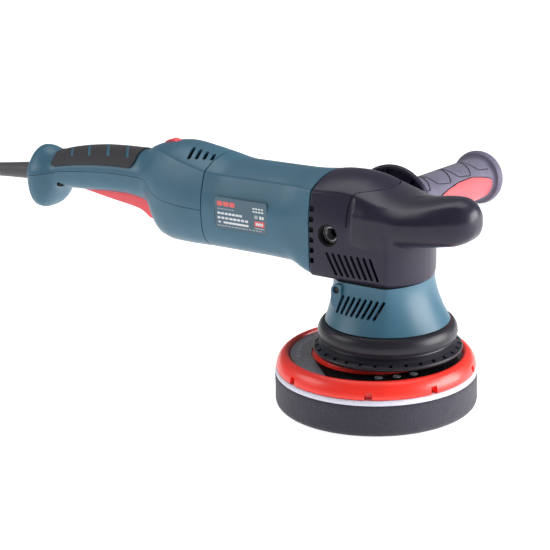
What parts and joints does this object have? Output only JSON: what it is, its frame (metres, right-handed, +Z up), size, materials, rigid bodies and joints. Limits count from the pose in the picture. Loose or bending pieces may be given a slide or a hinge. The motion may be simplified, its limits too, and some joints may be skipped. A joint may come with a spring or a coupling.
{
  "type": "dual action polisher",
  "caption": "Corded orbital polisher with a barrel motor body, rear grip with paddle trigger, palm rest, screw-in side handle and an offset foam pad on a plate.",
  "frame": {"origin": "on the drive spindle's axis, at the foam pad's working face", "axes": "+X from the rear handle towards the palm rest, +Y towards the side handle, +Z up along the drive spindle"},
  "size_m": [0.7463, 0.2703, 0.1821],
  "materials": {
    "teal_plastic": "fine moulded texture, satin",
    "black_plastic": "fine moulded texture, satin",
    "soft_black": "soft touch, matt",
    "cord_rubber": "matt",
    "red_plastic": "smooth moulded, semi gloss",
    "label_film": null,
    "cast_aluminium": "cast and machined",
    "machined_steel": "turned and ground",
    "laminated_steel": "stacked sheets",
    "copper_winding": "lacquered wire",
    "brass": "bright",
    "carbon": "pressed carbon",
    "circuit_board": "lacquered board",
    "hook_fabric": "short hooks",
    "foam": "open cell foam, density not modelled"
  },
  "bodies": {
    "root": {"motor_housing": "teal_plastic", "rating_label": "label_film", "handle_upper_shell": "teal_plastic", "handle_lower_shell": "teal_plastic", "handle_screw_left": "machined_steel", "handle_screw_right": "machined_steel", "handle_grip": "soft_black", "head_cover": "black_plastic", "palm_grip": "soft_black", "gear_case": "cast_aluminium", "boss_insert_left": "machined_steel", "boss_insert_right": "machined_steel", "spindle_housing": "teal_plastic", "housing_screw_left": "machined_steel", "housing_screw_right": "machined_steel", "rubber_collar": "soft_black", "skirt_ring": "black_plastic", "stator": "laminated_steel", "rear_bearing": "machined_steel", "front_bearing": "machined_steel", "brush_carrier": "black_plastic", "carbon_brush_left": "carbon", "carbon_brush_right": "carbon", "spindle_upper_bearing": "machined_steel", "spindle_lower_bearing": "machined_steel", "switch_block": "black_plastic", "speed_control_board": "circuit_board", "trigger_pin": "machined_steel", "side_handle_core": "black_plastic", "side_handle_sleeve": "soft_black", "side_handle_badge_front": "red_plastic", "side_handle_badge_rear": "red_plastic", "side_handle_stud": "machined_steel", "cord_boot": "soft_black", "power_cord": "cord_rubber", "cord_coil": "cord_rubber", "plug_lead": "cord_rubber", "plug_body": "cord_rubber", "plug_pin_left": "brass", "plug_pin_right": "brass"},
    "armature": {"armature_shaft": "machined_steel", "armature_core": "copper_winding", "commutator": "copper_winding", "cooling_fan": "black_plastic", "pinion": "machined_steel"},
    "spindle": {"ring_gear": "machined_steel", "drive_spindle": "machined_steel", "counterweight": "brass", "pad_bearing_lower": "machined_steel", "pad_bearing_upper": "machined_steel"},
    "pad": {"pad_spindle": "machined_steel", "backing_plate": "red_plastic", "plate_label": "label_film", "plate_bolt": "machined_steel", "hook_face": "hook_fabric", "foam_pad": "foam"},
    "trigger": {"trigger": "red_plastic", "trigger_spring": "machined_steel"},
    "dial": {"speed_dial": "red_plastic"}
  },
  "joints": [
    {"name": "armature_spin", "type": "hinge", "parent": "root", "child": "armature", "pos_m": [-0.08, 0, 0.138], "axis": [1, 0, 0], "continuous": true},
    {"name": "spindle_spin", "type": "hinge", "parent": "root", "child": "spindle", "pos_m": [0, 0, 0.12], "axis": [0, 0, 1], "continuous": true},
    {"name": "pad_spin", "type": "hinge", "parent": "spindle", "child": "pad", "pos_m": [-0.0105, 0, 0.05], "axis": [0, 0, 1], "continuous": true},
    {"name": "trigger_pull", "type": "hinge", "parent": "root", "child": "trigger", "pos_m": [-0.284, 0, 0.1365], "axis": [0, -1, 0], "range_deg": [0, 4.2], "stiffness_Nm_per_rad": 2, "springref_deg": -1.15},
    {"name": "speed_dial_turn", "type": "hinge", "parent": "root", "child": "dial", "pos_m": [-0.1955, 0, 0.1715], "axis": [0, 1, 0], "range_deg": [-135, 135]}
  ],
  "couplings": [
    {"joint": "armature_spin", "follows": "spindle_spin", "ratio": -3}
  ]
}
